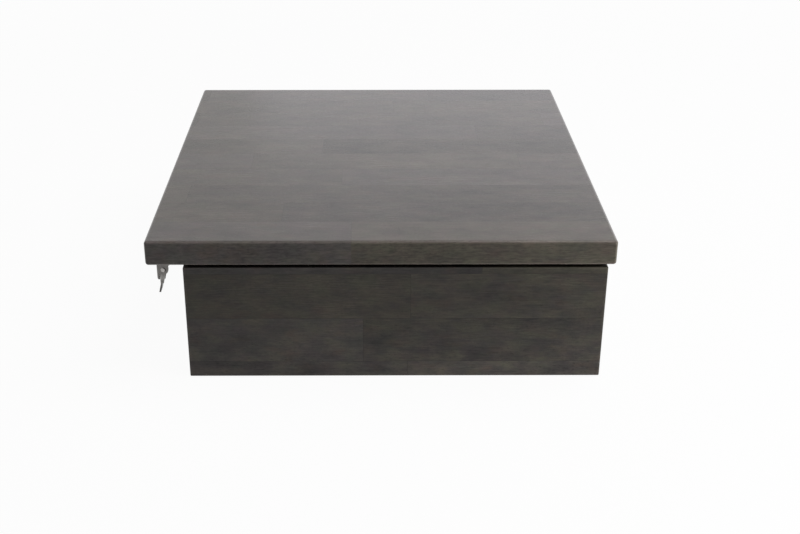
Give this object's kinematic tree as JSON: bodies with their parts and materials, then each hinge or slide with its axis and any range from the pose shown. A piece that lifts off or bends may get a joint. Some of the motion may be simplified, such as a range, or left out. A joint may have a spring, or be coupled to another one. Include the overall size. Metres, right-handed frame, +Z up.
{
  "type": "nightstand",
  "caption": "Low bed-hung nightstand: a thick dark wooden top over a handle-less drawer on ball-bearing slides, with steel clips under the long side overhang for a bed's side rail.",
  "frame": {"origin": "under the middle of the top, level with the lower edge of the carcass", "axes": "+X to the right as seen from the front, +Y to the rear, +Z up; the drawer opens towards -Y"},
  "size_m": [0.45, 0.48, 0.149],
  "materials": {
    "stained_wood": "laminated solid wood, dark grey-brown stain under a satin lacquer",
    "drawer_wood": "clear matt lacquer",
    "plywood": "clear matt lacquer",
    "dowel_wood": "raw",
    "cast_zinc": "as cast",
    "screw_steel": "zinc plated",
    "rail_steel": "zinc plated",
    "cage_steel": "bare pressed steel",
    "ball_steel": "polished",
    "stop_plastic": "moulded",
    "bumper_rubber": "translucent grey",
    "clip_steel": "dark, dulled spring steel",
    "rivet_steel": "bright"
  },
  "bodies": {
    "carcass": {"top_panel": "stained_wood", "left_side_panel": "stained_wood", "right_side_panel": "stained_wood", "back_panel": "stained_wood", "bottom_panel": "plywood", "panel_dowels": "dowel_wood", "cams": "cast_zinc", "cam_bolts": "screw_steel", "front_bumpers": "bumper_rubber", "outer_rail_screws": "screw_steel", "front_clip_housing": "clip_steel", "rear_clip_housing": "clip_steel", "front_clip_rivet": "rivet_steel", "rear_clip_rivet": "rivet_steel", "clip_screws": "screw_steel", "left_outer_rail": "rail_steel", "left_slide_stop": "stop_plastic", "right_outer_rail": "rail_steel", "right_slide_stop": "stop_plastic"},
    "drawer": {"drawer_front": "stained_wood", "drawer_front_screws": "screw_steel", "drawer_floor": "plywood", "inner_rail_screws": "screw_steel", "drawer_inner_front": "drawer_wood", "drawer_back": "drawer_wood", "drawer_left_side": "drawer_wood", "drawer_right_side": "drawer_wood", "left_inner_rail": "rail_steel", "right_inner_rail": "rail_steel"},
    "middle_rails": {"left_middle_rail": "rail_steel", "right_middle_rail": "rail_steel"},
    "outer_cages": {"left_outer_cage": "cage_steel", "left_outer_balls": "ball_steel", "right_outer_cage": "cage_steel", "right_outer_balls": "ball_steel"},
    "inner_cages": {"left_inner_cage": "cage_steel", "left_inner_balls": "ball_steel", "right_inner_cage": "cage_steel", "right_inner_balls": "ball_steel"},
    "front_tongue": {"front_clip_tongue": "clip_steel"},
    "rear_tongue": {"rear_clip_tongue": "clip_steel"}
  },
  "joints": [
    {"name": "drawer_slide", "type": "slide", "parent": "carcass", "child": "drawer", "axis": [0, -1, 0], "range_m": [0, 0.39]},
    {"name": "middle_rail_slide", "type": "slide", "parent": "carcass", "child": "middle_rails", "axis": [0, -1, 0], "range_m": [0, 0.195]},
    {"name": "outer_cage_slide", "type": "slide", "parent": "carcass", "child": "outer_cages", "axis": [0, -1, 0], "range_m": [0, 0.0975]},
    {"name": "inner_cage_slide", "type": "slide", "parent": "carcass", "child": "inner_cages", "axis": [0, -1, 0], "range_m": [0, 0.2925]},
    {"name": "front_tongue_swing", "type": "hinge", "parent": "carcass", "child": "front_tongue", "pos_m": [-0.2156, -0.189, 0.1005], "axis": [0, -1, 0], "range_deg": [-8, 40]},
    {"name": "rear_tongue_swing", "type": "hinge", "parent": "carcass", "child": "rear_tongue", "pos_m": [-0.2156, 0.189, 0.1005], "axis": [0, -1, 0], "range_deg": [-8, 40]}
  ],
  "couplings": [
    {"joint": "middle_rail_slide", "follows": "drawer_slide", "ratio": 0.5},
    {"joint": "outer_cage_slide", "follows": "drawer_slide", "ratio": 0.25},
    {"joint": "inner_cage_slide", "follows": "drawer_slide", "ratio": 0.75}
  ]
}
